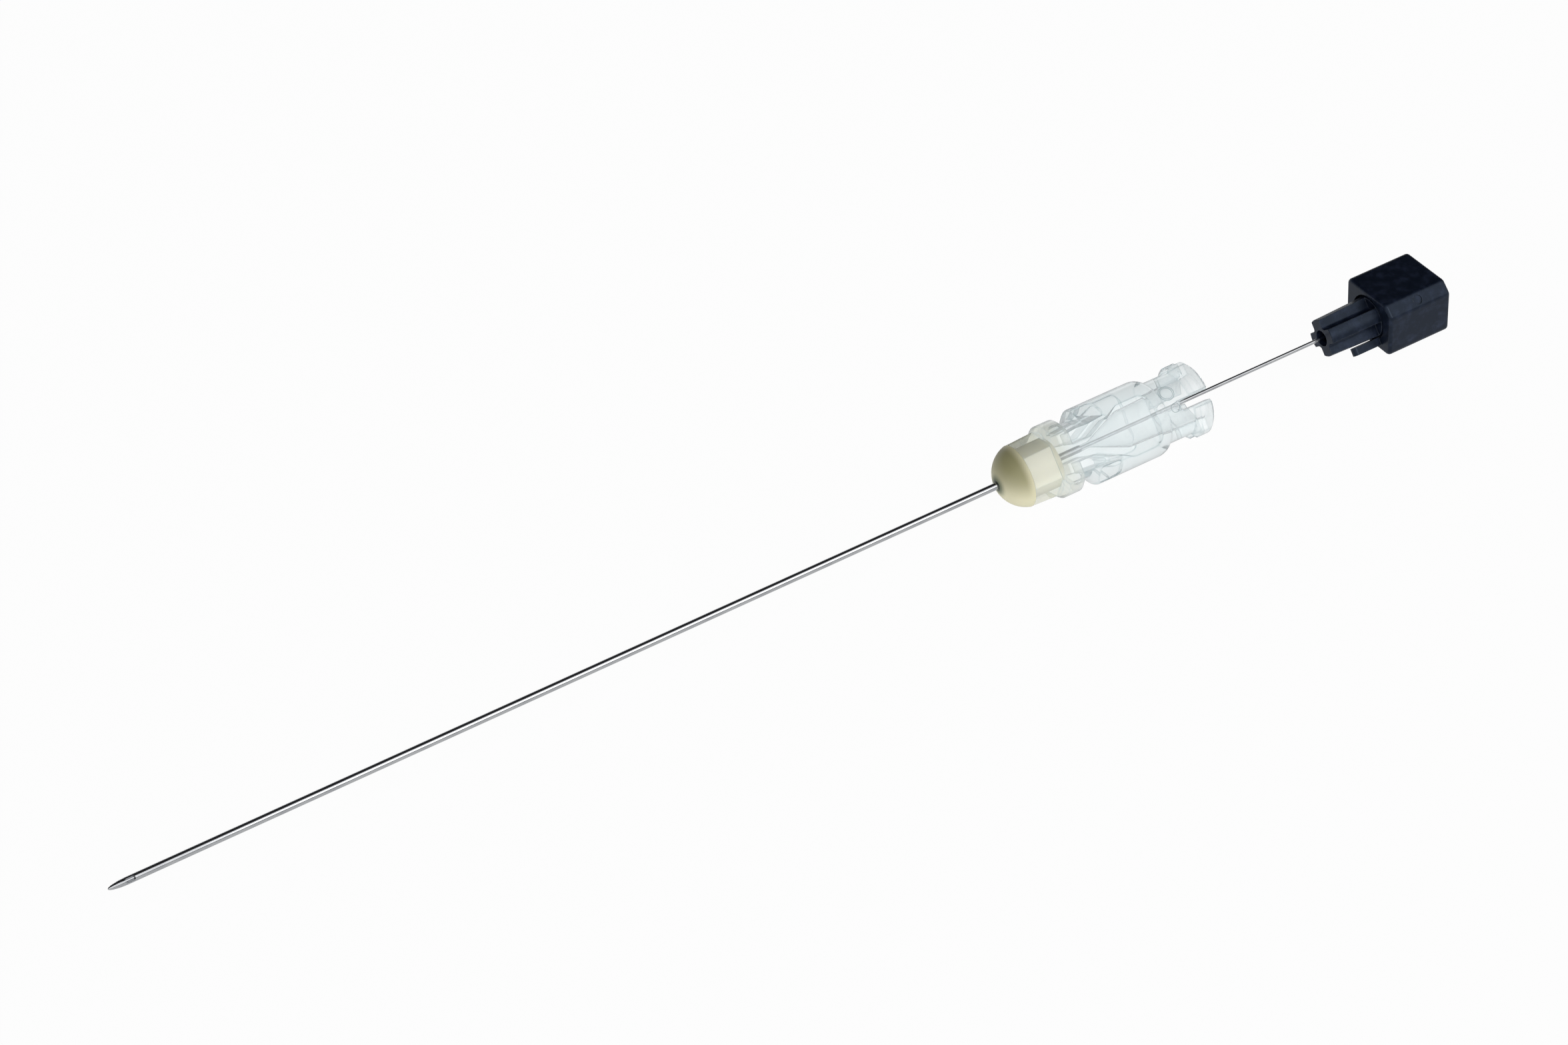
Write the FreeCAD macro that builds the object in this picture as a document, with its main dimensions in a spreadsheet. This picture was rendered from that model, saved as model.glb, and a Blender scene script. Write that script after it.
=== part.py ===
import FreeCAD, Part
import math
import os
import PartDesign
import Sketcher

# Spinal needle with a pencil point, its stylet drawn part of the way out.
# X runs along the needle towards the stylet cap, with X = 0 at the mouth of the hub.
# Every piece is drawn upright (its window or side port facing +Z) and is then rolled about X.

os.makedirs("parts", exist_ok=True)
doc = FreeCAD.newDocument("spinal_needle")

# Driving sizes in millimetres and degrees
SIZES = {
    # how the needle lies on its grip, and how far the stylet is drawn out
    "roll_angle": 58.8,
    "stylet_drawn": 21.1,
    # steel tube
    "tube_free_length": 90.0,
    "tube_radius": 0.35,
    "lumen_radius": 0.225,
    "point_length": 1.8,
    "port_setback": 1.55,
    "port_length": 0.95,
    "port_width": 0.4,
    "port_end_round": 0.19,
    "point_flat_radius": 0.03,
    "lumen_past_port": 0.05,
    # hub, lengths from the mouth towards the point
    "flange_length": 1.95,
    "barrel_length": 2.75,
    "shoulder_length": 1.3,
    "grip_length": 7.0,
    "grip_front_length": 0.6,
    "neck_length": 1.3,
    "collar_length": 2.3,
    "sleeve_length": 3.0,
    # hub, radii and flats
    "flange_radius": 3.77,
    "flange_rear_chamfer": 0.3,
    "flange_front_chamfer": 0.35,
    "barrel_radius": 3.21,
    "grip_radius": 3.9,
    "grip_front_round": 0.35,
    "neck_radius": 2.85,
    "collar_radius": 3.7,
    "collar_front_chamfer": 0.5,
    "collar_rear_chamfer": 0.2,
    "sleeve_rear_radius": 3.28,
    "hexagon_front_flat": 2.75,
    "hexagon_rear_flat": 2.85,
    "window_flat": 2.75,
    # window, rib and pockets of the grip
    "rib_half_width": 0.9,
    "window_half_width": 2.6,
    "window_front_gap": 0.1,
    "window_taper_length": 3.5,
    "window_rear_gap": 0.2,
    "window_corner_round": 0.9,
    "pocket_front_edge": 2.0,
    "pocket_rear_edge": 2.3,
    "pocket_rear_length": 2.0,
    "pocket_end_round": 0.2,
    "web_half_thickness": 0.45,
    "finger_flat": 3.56,
    "finger_flat_angle": 55.0,
    "finger_flat_half_width": 1.3,
    "finger_flat_round": 0.7,
    # slots and keyways of the mouth
    "flange_slot_width": 1.45,
    "keyway_end_clearance": 0.1,
    "keyway_side_clearance": 0.05,
    # bores of the hub
    "mouth_radius": 2.155,
    "mouth_chamfer": 0.12,
    "socket_length": 8.4,
    "socket_taper": 0.03,
    "socket_end_round": 0.5,
    "funnel_length": 3.9,
    "guide_radius": 0.3,
    "guide_length": 1.0,
    # nose insert and bond
    "dome_height": 2.4,
    "dome_radius": 3.15,
    "core_radius": 2.35,
    "core_length": 3.7,
    "bond_radius": 0.52,
    "bond_depth": 0.5,
    "bond_height": 0.08,
    # stylet
    "wire_radius": 0.195,
    "wire_end_round": 0.12,
    "wire_end_gap": 0.15,
    "wire_hold_length": 3.5,
    "head_gap": 0.05,
    "shank_length": 5.7,
    "shank_clearance": 0.025,
    "shank_edge_round": 0.12,
    "shank_bore_radius": 0.85,
    "shank_bore_length": 4.6,
    "shank_rib_width": 1.45,
    "shank_channel_round": 0.4,
    "head_turn": 38.5,
    "head_height": 5.73,
    "head_width": 6.99,
    "head_length": 7.38,
    "head_corner_chamfer": 1.08,
    "head_corner_round": 0.6,
    "head_edge_round": 0.35,
    "head_recess_radius": 2.4,
    "head_recess_depth": 0.8,
    "head_mark_radius": 0.5,
    "head_mark_depth": 0.12,
    "key_length": 3.1,
    "key_width": 0.9,
    "key_end_round": 0.4,
    "key_inner_radius": 2.2,
    "key_outer_radius": 3.0,
}

sheet = doc.addObject("Spreadsheet::Sheet", "sizes")
for row, (alias, number) in enumerate(SIZES.items(), start=1):
    sheet.set("A%d" % row, alias)
    sheet.set("B%d" % row, str(number))
    sheet.setAlias("B%d" % row, alias)
doc.recompute()


class Measure:
    """A size held both as a number and as the formula that ties it to the sheet."""

    def __init__(self, value, formula):
        self.value = value
        self.formula = formula

    def _with(self, other, sign, value):
        other = other if isinstance(other, Measure) else Measure(other, repr(other))
        return Measure(value(self.value, other.value), "(%s %s %s)" % (self.formula, sign, other.formula))

    def __add__(self, other):
        return self._with(other, "+", lambda a, b: a + b)

    def __sub__(self, other):
        return self._with(other, "-", lambda a, b: a - b)

    def __mul__(self, other):
        return self._with(other, "*", lambda a, b: a * b)

    def __truediv__(self, other):
        return self._with(other, "/", lambda a, b: a / b)

    def __neg__(self):
        return Measure(-self.value, "(-1 * %s)" % self.formula)


def size(alias):
    """The named size of the sheet."""
    return Measure(float(sheet.get(alias)), "sizes." + alias)


ZERO = Measure(0.0, "0")
BEYOND = size("flange_radius") * 2.0
# the cut corner of the head slopes equally to both of its sides
EVEN_SLOPE = 45.0

# Stations along X, from the mouth of the hub to the point
flange_front = -size("flange_length")
barrel_front = flange_front - size("barrel_length")
shoulder_front = barrel_front - size("shoulder_length")
grip_front = shoulder_front - size("grip_length")
neck_rear = grip_front - size("grip_front_length")
collar_rear = neck_rear - size("neck_length")
collar_front = collar_rear - size("collar_length")
sleeve_front = collar_front - size("sleeve_length")
dome_front = sleeve_front - size("dome_height")
tube_front = dome_front - size("tube_free_length")
funnel_rear = -size("socket_length")
funnel_front = funnel_rear - size("funnel_length")
tube_rear = funnel_front - size("guide_length")
core_rear = sleeve_front + size("core_length")
dome_ball = (size("dome_radius") * size("dome_radius") + size("dome_height") * size("dome_height")) / (
    size("dome_height") * 2.0
)
bond_rim = dome_front + size("bond_radius") * size("bond_radius") / (dome_ball * 2.0)
port_front = tube_front + size("port_setback")
port_rear = port_front + size("port_length")
lumen_front = port_front - size("lumen_past_port")

# Stations of the stylet as it is drawn out
head_front = size("stylet_drawn")
shank_front = head_front - size("shank_length")
shank_rear_radius = size("mouth_radius") - size("shank_clearance")
shank_front_radius = shank_rear_radius - size("shank_length") * size("socket_taper")
wire_front = lumen_front + size("wire_end_gap") + head_front - size("head_gap")
wire_rear = shank_front + size("shank_bore_length") + size("wire_hold_length")


class Corner:
    """A corner of an outline: rounded by a radius, or reached by an arc or an oval about a centre."""

    def __init__(self, x, y, radius=None, centre=None, oval=False):
        self.x = x
        self.y = y
        self.radius = radius
        self.centre = centre
        self.oval = oval


def new_body(name):
    """A body that is drawn upright and rolled about X like the whole needle."""
    body = doc.addObject("PartDesign::Body", name)
    body.Label = name
    body.Placement.Rotation = FreeCAD.Rotation(FreeCAD.Vector(1, 0, 0), 0)
    body.setExpression("Placement.Rotation.Angle", "sizes.roll_angle")
    return body


def origin_feature(body, role):
    """The plane or axis of the body's own origin that has this role."""
    for feature in body.Origin.OriginFeatures:
        if feature.Role == role:
            return feature
    raise ValueError("no origin feature " + role)


def new_sketch(body, name, plane, offset=ZERO, tilt=ZERO):
    """A sketch on an origin plane, moved along the plane's normal and tilted about its own X."""
    sketch = body.newObject("Sketcher::SketchObject", name)
    sketch.AttachmentSupport = [(origin_feature(body, plane), "")]
    sketch.MapMode = "FlatFace"
    turn = FreeCAD.Rotation(FreeCAD.Vector(1, 0, 0), tilt.value)
    shift = turn.multVec(FreeCAD.Vector(0, 0, offset.value))
    sketch.AttachmentOffset = FreeCAD.Placement(shift, turn)
    if tilt is ZERO:
        sketch.setExpression("AttachmentOffset.Base.z", offset.formula)
    else:
        sketch.setExpression("AttachmentOffset.Rotation.Angle", tilt.formula)
        sketch.setExpression("AttachmentOffset.Base.y", "-%s * sin(%s)" % (offset.formula, tilt.formula))
        sketch.setExpression("AttachmentOffset.Base.z", "%s * cos(%s)" % (offset.formula, tilt.formula))
    return sketch


def pin_down(sketch, geometry, end, x, y=None):
    """Ties a point of a sketch to its coordinates, or to the axis where one of them is zero."""
    for kind, axis, place in (("DistanceX", -2, x), ("DistanceY", -1, y)):
        if place is None:
            continue
        if place is ZERO:
            sketch.addConstraint(Sketcher.Constraint("PointOnObject", geometry, end, axis))
            continue
        index = sketch.addConstraint(Sketcher.Constraint(kind, -1, 1, geometry, end, place.value))
        sketch.setExpression("Constraints[%d]" % index, place.formula)


def arc_between(centre, start, end, clockwise):
    """An arc about a centre, and which of its own ends is the first one on the way."""
    radius = math.hypot(start[0] - centre[0], start[1] - centre[1])
    first = math.atan2(start[1] - centre[1], start[0] - centre[0])
    last = math.atan2(end[1] - centre[1], end[0] - centre[0])
    if clockwise:
        first, last = last, first
    if last < first:
        last = last + 2 * math.pi
    circle = Part.Circle(FreeCAD.Vector(centre[0], centre[1], 0), FreeCAD.Vector(0, 0, 1), radius)
    return Part.ArcOfCircle(circle, first, last), (2, 1) if clockwise else (1, 2)


def add_oval_nose(sketch, centre, start, end):
    """Nearly a quarter of an ellipse, from its top towards its left end, with its long axis kept level."""
    middle = FreeCAD.Vector(centre[0], centre[1], 0)
    height = start[1] - centre[1]
    last = math.asin((end[1] - centre[1]) / height)
    ellipse = Part.Ellipse(middle, (centre[0] - end[0]) / math.cos(last), height)
    index = sketch.addGeometry(Part.ArcOfEllipse(ellipse, math.pi / 2, math.pi - last), False)
    sketch.exposeInternalGeometry(index)
    sketch.addConstraint(Sketcher.Constraint("Horizontal", index + 1))
    return index


def side_of(start, middle, end):
    """Positive where the way turns left at the middle point, negative where it turns right."""
    return (middle[0] - start[0]) * (end[1] - middle[1]) - (middle[1] - start[1]) * (end[0] - middle[0])


def draw_outline(sketch, corners):
    """Draws a closed outline of lines, rounded corners and arcs, with each corner tied to its sizes."""
    count = len(corners)
    points = [(corner.x.value, corner.y.value) for corner in corners]
    arrive = list(points)
    leave = list(points)
    for i, corner in enumerate(corners):
        if corner.radius is None:
            continue
        back = FreeCAD.Vector(*points[i - 1], 0) - FreeCAD.Vector(*points[i], 0)
        ahead = FreeCAD.Vector(*points[(i + 1) % count], 0) - FreeCAD.Vector(*points[i], 0)
        reach = corner.radius.value / math.tan(back.getAngle(ahead) / 2)
        start = FreeCAD.Vector(*points[i], 0) + back.normalize() * reach
        end = FreeCAD.Vector(*points[i], 0) + ahead.normalize() * reach
        arrive[i] = (start.x, start.y)
        leave[i] = (end.x, end.y)

    edges = []
    for i in range(count):
        start, end = leave[i], arrive[(i + 1) % count]
        centre = corners[(i + 1) % count].centre
        if centre is None:
            line = Part.LineSegment(FreeCAD.Vector(*start, 0), FreeCAD.Vector(*end, 0))
            edges.append((sketch.addGeometry(line, False), (1, 2)))
            continue
        middle = (centre[0].value, centre[1].value)
        if corners[(i + 1) % count].oval:
            index, ends = add_oval_nose(sketch, middle, start, end), (1, 2)
        else:
            arc, ends = arc_between(middle, start, end, side_of(middle, start, end) < 0)
            index = sketch.addGeometry(arc, False)
        edges.append((index, ends))
        pin_down(sketch, index, 3, centre[0], centre[1])

    for i, corner in enumerate(corners):
        before, before_ends = edges[i - 1]
        after, after_ends = edges[i]
        if corner.radius is None:
            joined = Sketcher.Constraint("Coincident", before, before_ends[1], after, after_ends[0])
            sketch.addConstraint(joined)
            if corner.centre is None or corner.oval:
                pin_down(sketch, after, after_ends[0], corner.x, corner.y)
            elif corner.y is ZERO:
                pin_down(sketch, after, after_ends[0], None, corner.y)
            else:
                pin_down(sketch, after, after_ends[0], corner.x)
            continue
        sharp = sketch.addGeometry(Part.Point(FreeCAD.Vector(*points[i], 0)), True)
        pin_down(sketch, sharp, 1, corner.x, corner.y)
        sketch.addConstraint(Sketcher.Constraint("PointOnObject", sharp, 1, before))
        sketch.addConstraint(Sketcher.Constraint("PointOnObject", sharp, 1, after))
        clockwise = side_of(points[i - 1], points[i], points[(i + 1) % count]) < 0
        turn = 1 if clockwise else -1
        along = (points[i][0] - arrive[i][0], points[i][1] - arrive[i][1])
        length = math.hypot(*along)
        centre = (
            arrive[i][0] + turn * along[1] / length * corner.radius.value,
            arrive[i][1] - turn * along[0] / length * corner.radius.value,
        )
        arc, ends = arc_between(centre, arrive[i], leave[i], clockwise)
        index = sketch.addGeometry(arc, False)
        sketch.addConstraint(Sketcher.Constraint("Tangent", before, before_ends[1], index, ends[0]))
        sketch.addConstraint(Sketcher.Constraint("Tangent", index, ends[1], after, after_ends[0]))
        radius = sketch.addConstraint(Sketcher.Constraint("Radius", index, corner.radius.value))
        sketch.setExpression("Constraints[%d]" % radius, corner.radius.formula)


def box_corners(x_low, x_high, y_low, y_high, radius=None):
    """The four corners of an upright rectangle."""
    return [
        Corner(x_low, y_low, radius),
        Corner(x_high, y_low, radius),
        Corner(x_high, y_high, radius),
        Corner(x_low, y_high, radius),
    ]


def volume_after(body):
    """The body's volume once its last feature is worked out."""
    doc.recompute()
    return 0.0 if body.Shape.isNull() else body.Shape.Volume


def turn_solid(body, name, sketch):
    """Revolves a sketch about the needle's own axis."""
    feature = body.newObject("PartDesign::Revolution", name)
    feature.Profile = sketch
    feature.ReferenceAxis = (sketch, ["H_Axis"])
    feature.Angle = 360
    doc.recompute()
    return feature


def turn_away(body, name, sketch):
    """Turns a hollow out of a body about the needle's own axis."""
    before = volume_after(body)
    feature = body.newObject("PartDesign::Groove", name)
    feature.Profile = sketch
    feature.ReferenceAxis = (sketch, ["H_Axis"])
    feature.Angle = 360
    if volume_after(body) >= before:
        raise RuntimeError(name + " takes nothing away")
    return feature


def pad_out(body, name, sketch, length, reverse=False):
    """Pads a sketch by a length along or against its normal."""
    before = volume_after(body)
    feature = body.newObject("PartDesign::Pad", name)
    feature.Profile = sketch
    feature.Reversed = reverse
    feature.setExpression("Length", length.formula)
    if volume_after(body) <= before:
        raise RuntimeError(name + " adds nothing")
    return feature


def cut_out(body, name, sketch, side="One side", reverse=True, depth=None):
    """Pockets a sketch outwards from its plane, through all or to a depth."""
    before = volume_after(body)
    feature = body.newObject("PartDesign::Pocket", name)
    feature.Profile = sketch
    feature.SideType = side
    feature.Reversed = reverse
    if depth is None:
        feature.Type = "ThroughAll"
    else:
        feature.setExpression("Length", depth.formula)
    if volume_after(body) >= before:
        raise RuntimeError(name + " takes nothing away")
    return feature


def round_the_needle(body, name, features, count):
    """Repeats features in a ring about the needle's own axis."""
    before = volume_after(body)
    pattern = body.newObject("PartDesign::PolarPattern", name)
    pattern.Originals = features
    pattern.Axis = (origin_feature(body, "X_Axis"), [""])
    pattern.Angle = 360
    pattern.Occurrences = count
    body.Tip = pattern
    if abs(volume_after(body) - before) < 1e-6:
        raise RuntimeError(name + " changes nothing")
    return pattern


def other_side(body, name, features):
    """Mirrors features to the lower side of the body."""
    before = volume_after(body)
    mirror = body.newObject("PartDesign::Mirrored", name)
    mirror.Originals = features
    mirror.MirrorPlane = (origin_feature(body, "XY_Plane"), [""])
    body.Tip = mirror
    if abs(volume_after(body) - before) < 1e-6:
        raise RuntimeError(name + " changes nothing")
    return mirror


def edges_where(feature, test):
    """The names of the edges of a feature whose own shape passes a test."""
    return ["Edge%d" % number for number, edge in enumerate(feature.Shape.Edges, start=1) if test(edge)]


def round_edges(body, name, feature, radius, test):
    """Rounds the edges of a body that pass a test."""
    fillet = body.newObject("PartDesign::Fillet", name)
    fillet.Base = (feature, edges_where(feature, test))
    fillet.setExpression("Radius", radius.formula)
    doc.recompute()
    return fillet


def build_cannula():
    """The steel tube: a closed pencil point, a lumen and one side port near the point."""
    body = new_body("cannula")
    radius = size("tube_radius")
    point_rear = tube_front + size("point_length")
    outside = new_sketch(body, "tube_outline", "XY_Plane")
    draw_outline(outside, [
        Corner(tube_rear, ZERO),
        Corner(tube_rear, radius),
        Corner(point_rear, radius),
        Corner(tube_front, size("point_flat_radius"), centre=(point_rear, ZERO), oval=True),
        Corner(tube_front, ZERO),
    ])
    turn_solid(body, "tube", outside)

    bore = new_sketch(body, "lumen_outline", "XY_Plane")
    draw_outline(bore, box_corners(lumen_front, tube_rear, ZERO, size("lumen_radius")))
    turn_away(body, "lumen", bore)

    port = new_sketch(body, "port_outline", "XY_Plane")
    half = size("port_width") / 2.0
    draw_outline(port, box_corners(port_front, port_rear, -half, half, size("port_end_round")))
    cut_out(body, "side_port", port)
    return body


def hub_outline():
    """The hub's outer profile, from the front of the sleeve to the mouth."""
    axis_side = size("guide_radius")
    drop = size("grip_radius") - size("barrel_radius")
    shoulder = (size("shoulder_length") * size("shoulder_length") + drop * drop) / (drop * 2.0)
    rear_chamfer = size("flange_rear_chamfer")
    front_chamfer = size("flange_front_chamfer")
    collar_chamfer = size("collar_front_chamfer")
    return [
        Corner(sleeve_front, axis_side),
        Corner(sleeve_front, size("dome_radius")),
        Corner(collar_front, size("sleeve_rear_radius")),
        Corner(collar_front + collar_chamfer, size("collar_radius")),
        Corner(collar_rear - size("collar_rear_chamfer"), size("collar_radius")),
        Corner(collar_rear, size("collar_radius") - size("collar_rear_chamfer")),
        Corner(collar_rear, size("neck_radius")),
        Corner(neck_rear, size("neck_radius")),
        Corner(grip_front, size("grip_radius"), size("grip_front_round")),
        Corner(shoulder_front, size("grip_radius")),
        Corner(barrel_front, size("barrel_radius"), centre=(shoulder_front, size("grip_radius") - shoulder)),
        Corner(flange_front, size("barrel_radius")),
        Corner(flange_front, size("flange_radius") - front_chamfer),
        Corner(flange_front + front_chamfer, size("flange_radius")),
        Corner(-rear_chamfer, size("flange_radius")),
        Corner(ZERO, size("flange_radius") - rear_chamfer),
        Corner(ZERO, axis_side),
    ]


def cut_hub_bores(body):
    """The conical socket, the funnel and guide for the stylet, and the seats of tube and insert."""
    mouth = size("mouth_radius")
    socket_end = mouth - size("socket_length") * size("socket_taper")
    socket = new_sketch(body, "socket_outline", "XY_Plane")
    draw_outline(socket, [
        Corner(ZERO, ZERO),
        Corner(ZERO, mouth + size("mouth_chamfer")),
        Corner(-size("mouth_chamfer"), mouth),
        Corner(funnel_rear, socket_end, size("socket_end_round")),
        Corner(funnel_front, size("guide_radius")),
        Corner(tube_rear, size("guide_radius")),
        Corner(tube_rear, ZERO),
    ])
    turn_away(body, "socket", socket)

    seat = new_sketch(body, "insert_seat_outline", "XY_Plane")
    draw_outline(seat, [
        Corner(sleeve_front, ZERO),
        Corner(sleeve_front, size("core_radius")),
        Corner(core_rear, size("core_radius")),
        Corner(core_rear, size("tube_radius")),
        Corner(tube_rear, size("tube_radius")),
        Corner(tube_rear, ZERO),
    ])
    turn_away(body, "insert_seat", seat)


def cut_hexagon(body):
    """Six tapered flats round the sleeve."""
    flat = new_sketch(body, "hexagon_flat_outline", "XZ_Plane")
    draw_outline(flat, [
        Corner(sleeve_front, size("hexagon_front_flat")),
        Corner(collar_front, size("hexagon_rear_flat")),
        Corner(collar_front, BEYOND),
        Corner(sleeve_front, BEYOND),
    ])
    first = cut_out(body, "hexagon_flat", flat, side="Symmetric")
    round_the_needle(body, "hexagon", [first], 6)


def cut_grip(body):
    """The window flats, the pockets beside the rib that holds the tube, and the finger flats."""
    shelf = new_sketch(body, "collar_flat_outline", "XZ_Plane")
    draw_outline(shelf, box_corners(collar_front, neck_rear, size("window_flat"), BEYOND))
    collar_flat = cut_out(body, "collar_flat", shelf, side="Symmetric")

    half = size("window_half_width")
    rib = size("rib_half_width")
    taper_front = grip_front + size("window_front_gap")
    taper_rear = taper_front + size("window_taper_length")
    window_rear = shoulder_front - size("window_rear_gap")
    corner = size("window_corner_round")
    window = new_sketch(body, "window_outline", "XY_Plane", size("window_flat"))
    draw_outline(window, [
        Corner(neck_rear, -rib),
        Corner(taper_front, -rib),
        Corner(taper_rear, -half, corner),
        Corner(window_rear, -half, corner),
        Corner(window_rear, half, corner),
        Corner(taper_rear, half, corner),
        Corner(taper_front, rib),
        Corner(neck_rear, rib),
    ])
    window_cut = cut_out(body, "window", window)

    pockets = []
    pocket_rear = taper_front + size("pocket_rear_length")
    pocket_inner = rib + (half - rib) * (size("pocket_rear_length") / size("window_taper_length"))
    for name, way in (("upper", 1), ("lower", -1)):
        sketch = new_sketch(body, name + "_pocket_outline", "XY_Plane", size("web_half_thickness"))
        draw_outline(sketch, [
            Corner(collar_rear, rib * way),
            Corner(taper_front, rib * way),
            Corner(pocket_rear, pocket_inner * way, size("pocket_end_round")),
            Corner(pocket_rear, size("pocket_rear_edge") * way, size("pocket_end_round")),
            Corner(collar_rear, size("pocket_front_edge") * way),
        ])
        pockets.append(cut_out(body, name + "_pocket", sketch))

    finger = []
    for name, way in (("upper", -1), ("lower", 1)):
        tilt = size("finger_flat_angle") * way
        sketch = new_sketch(body, name + "_finger_outline", "XY_Plane", size("finger_flat"), tilt)
        reach = size("finger_flat_half_width")
        end_round = size("finger_flat_round")
        draw_outline(sketch, box_corners(neck_rear - end_round, pocket_rear, -reach, reach, end_round))
        finger.append(cut_out(body, name + "_finger_flat", sketch))

    other_side(body, "other_grip_side", [collar_flat, window_cut] + pockets + finger)


def cut_mouth_slots(body):
    """Four slots that part the flange into ears, each running on as a keyway in the barrel."""
    slot = new_sketch(body, "flange_slot_outline", "XY_Plane", size("barrel_radius"))
    half = size("flange_slot_width") / 2.0
    draw_outline(slot, box_corners(flange_front, ZERO, -half, half))
    slot_cut = cut_out(body, "flange_slot", slot)

    keyway = new_sketch(body, "keyway_outline", "XY_Plane", size("guide_radius"))
    end = -(size("key_length") + size("keyway_end_clearance"))
    half = size("key_width") / 2.0 + size("keyway_side_clearance")
    draw_outline(keyway, [
        Corner(end, -half, size("key_end_round")),
        Corner(ZERO, -half),
        Corner(ZERO, half),
        Corner(end, half, size("key_end_round")),
    ])
    keyway_cut = cut_out(body, "keyway", keyway)
    round_the_needle(body, "mouth_slots", [slot_cut, keyway_cut], 4)


def build_hub():
    """The clear moulded hub, in one piece from the hexagon sleeve to the slotted flange."""
    body = new_body("hub")
    outline = new_sketch(body, "hub_outline", "XY_Plane")
    draw_outline(outline, hub_outline())
    turn_solid(body, "hub_blank", outline)
    cut_hub_bores(body)
    cut_hexagon(body)
    cut_grip(body)
    cut_mouth_slots(body)
    return body


def build_nose_insert():
    """The cream insert: a domed nose with a core that fills the sleeve of the hub."""
    body = new_body("nose_insert")
    outline = new_sketch(body, "insert_outline", "XY_Plane")
    draw_outline(outline, [
        Corner(dome_front, ZERO),
        Corner(sleeve_front, size("dome_radius"), centre=(dome_front + dome_ball, ZERO)),
        Corner(sleeve_front, size("core_radius")),
        Corner(core_rear, size("core_radius")),
        Corner(core_rear, ZERO),
    ])
    turn_solid(body, "insert_blank", outline)

    bore = new_sketch(body, "insert_bore_outline", "XY_Plane")
    draw_outline(bore, [
        Corner(dome_front, ZERO),
        Corner(dome_front, size("bond_radius")),
        Corner(bond_rim, size("bond_radius")),
        Corner(dome_front + size("bond_depth"), size("tube_radius")),
        Corner(core_rear, size("tube_radius")),
        Corner(core_rear, ZERO),
    ])
    turn_away(body, "insert_bore", bore)
    return body


def build_bond():
    """The bead of bonding resin where the tube leaves the dome."""
    body = new_body("bond_bead")
    outline = new_sketch(body, "bond_outline", "XY_Plane")
    draw_outline(outline, [
        Corner(dome_front - size("bond_height"), size("tube_radius")),
        Corner(bond_rim, size("bond_radius")),
        Corner(dome_front + size("bond_depth"), size("tube_radius")),
    ])
    turn_solid(body, "bond", outline)
    return body


def build_stylet_wire():
    """The solid wire that fills the tube, held at its rear end in the cap."""
    body = new_body("stylet_wire")
    radius = size("wire_radius")
    outline = new_sketch(body, "wire_outline", "XY_Plane")
    draw_outline(outline, [
        Corner(wire_front, ZERO),
        Corner(wire_front, radius, size("wire_end_round")),
        Corner(wire_rear, radius),
        Corner(wire_rear, ZERO),
    ])
    turn_solid(body, "wire", outline)
    return body


def build_cap_shank(body):
    """A tapered shank on the head, hollow in front, with four channels that leave four ribs."""
    root = head_front + size("head_recess_depth")
    blank = new_sketch(body, "shank_outline", "XY_Plane")
    draw_outline(blank, [
        Corner(shank_front, ZERO),
        Corner(shank_front, shank_front_radius, size("shank_edge_round")),
        Corner(head_front, shank_rear_radius),
        Corner(root, size("head_recess_radius")),
        Corner(root + size("head_edge_round"), size("head_recess_radius")),
        Corner(root + size("head_edge_round"), ZERO),
    ])
    turn_solid(body, "shank", blank)

    channel = new_sketch(body, "channel_outline", "YZ_Plane", shank_front)
    wall = size("shank_rib_width") / 2.0
    beyond = size("head_recess_radius")
    draw_outline(channel, [
        Corner(wall, wall, size("shank_channel_round")),
        Corner(beyond, wall),
        Corner(beyond, beyond),
        Corner(wall, beyond),
    ])
    first = cut_out(body, "channel", channel, depth=size("shank_length"))
    round_the_needle(body, "channels", [first], 4)


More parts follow.
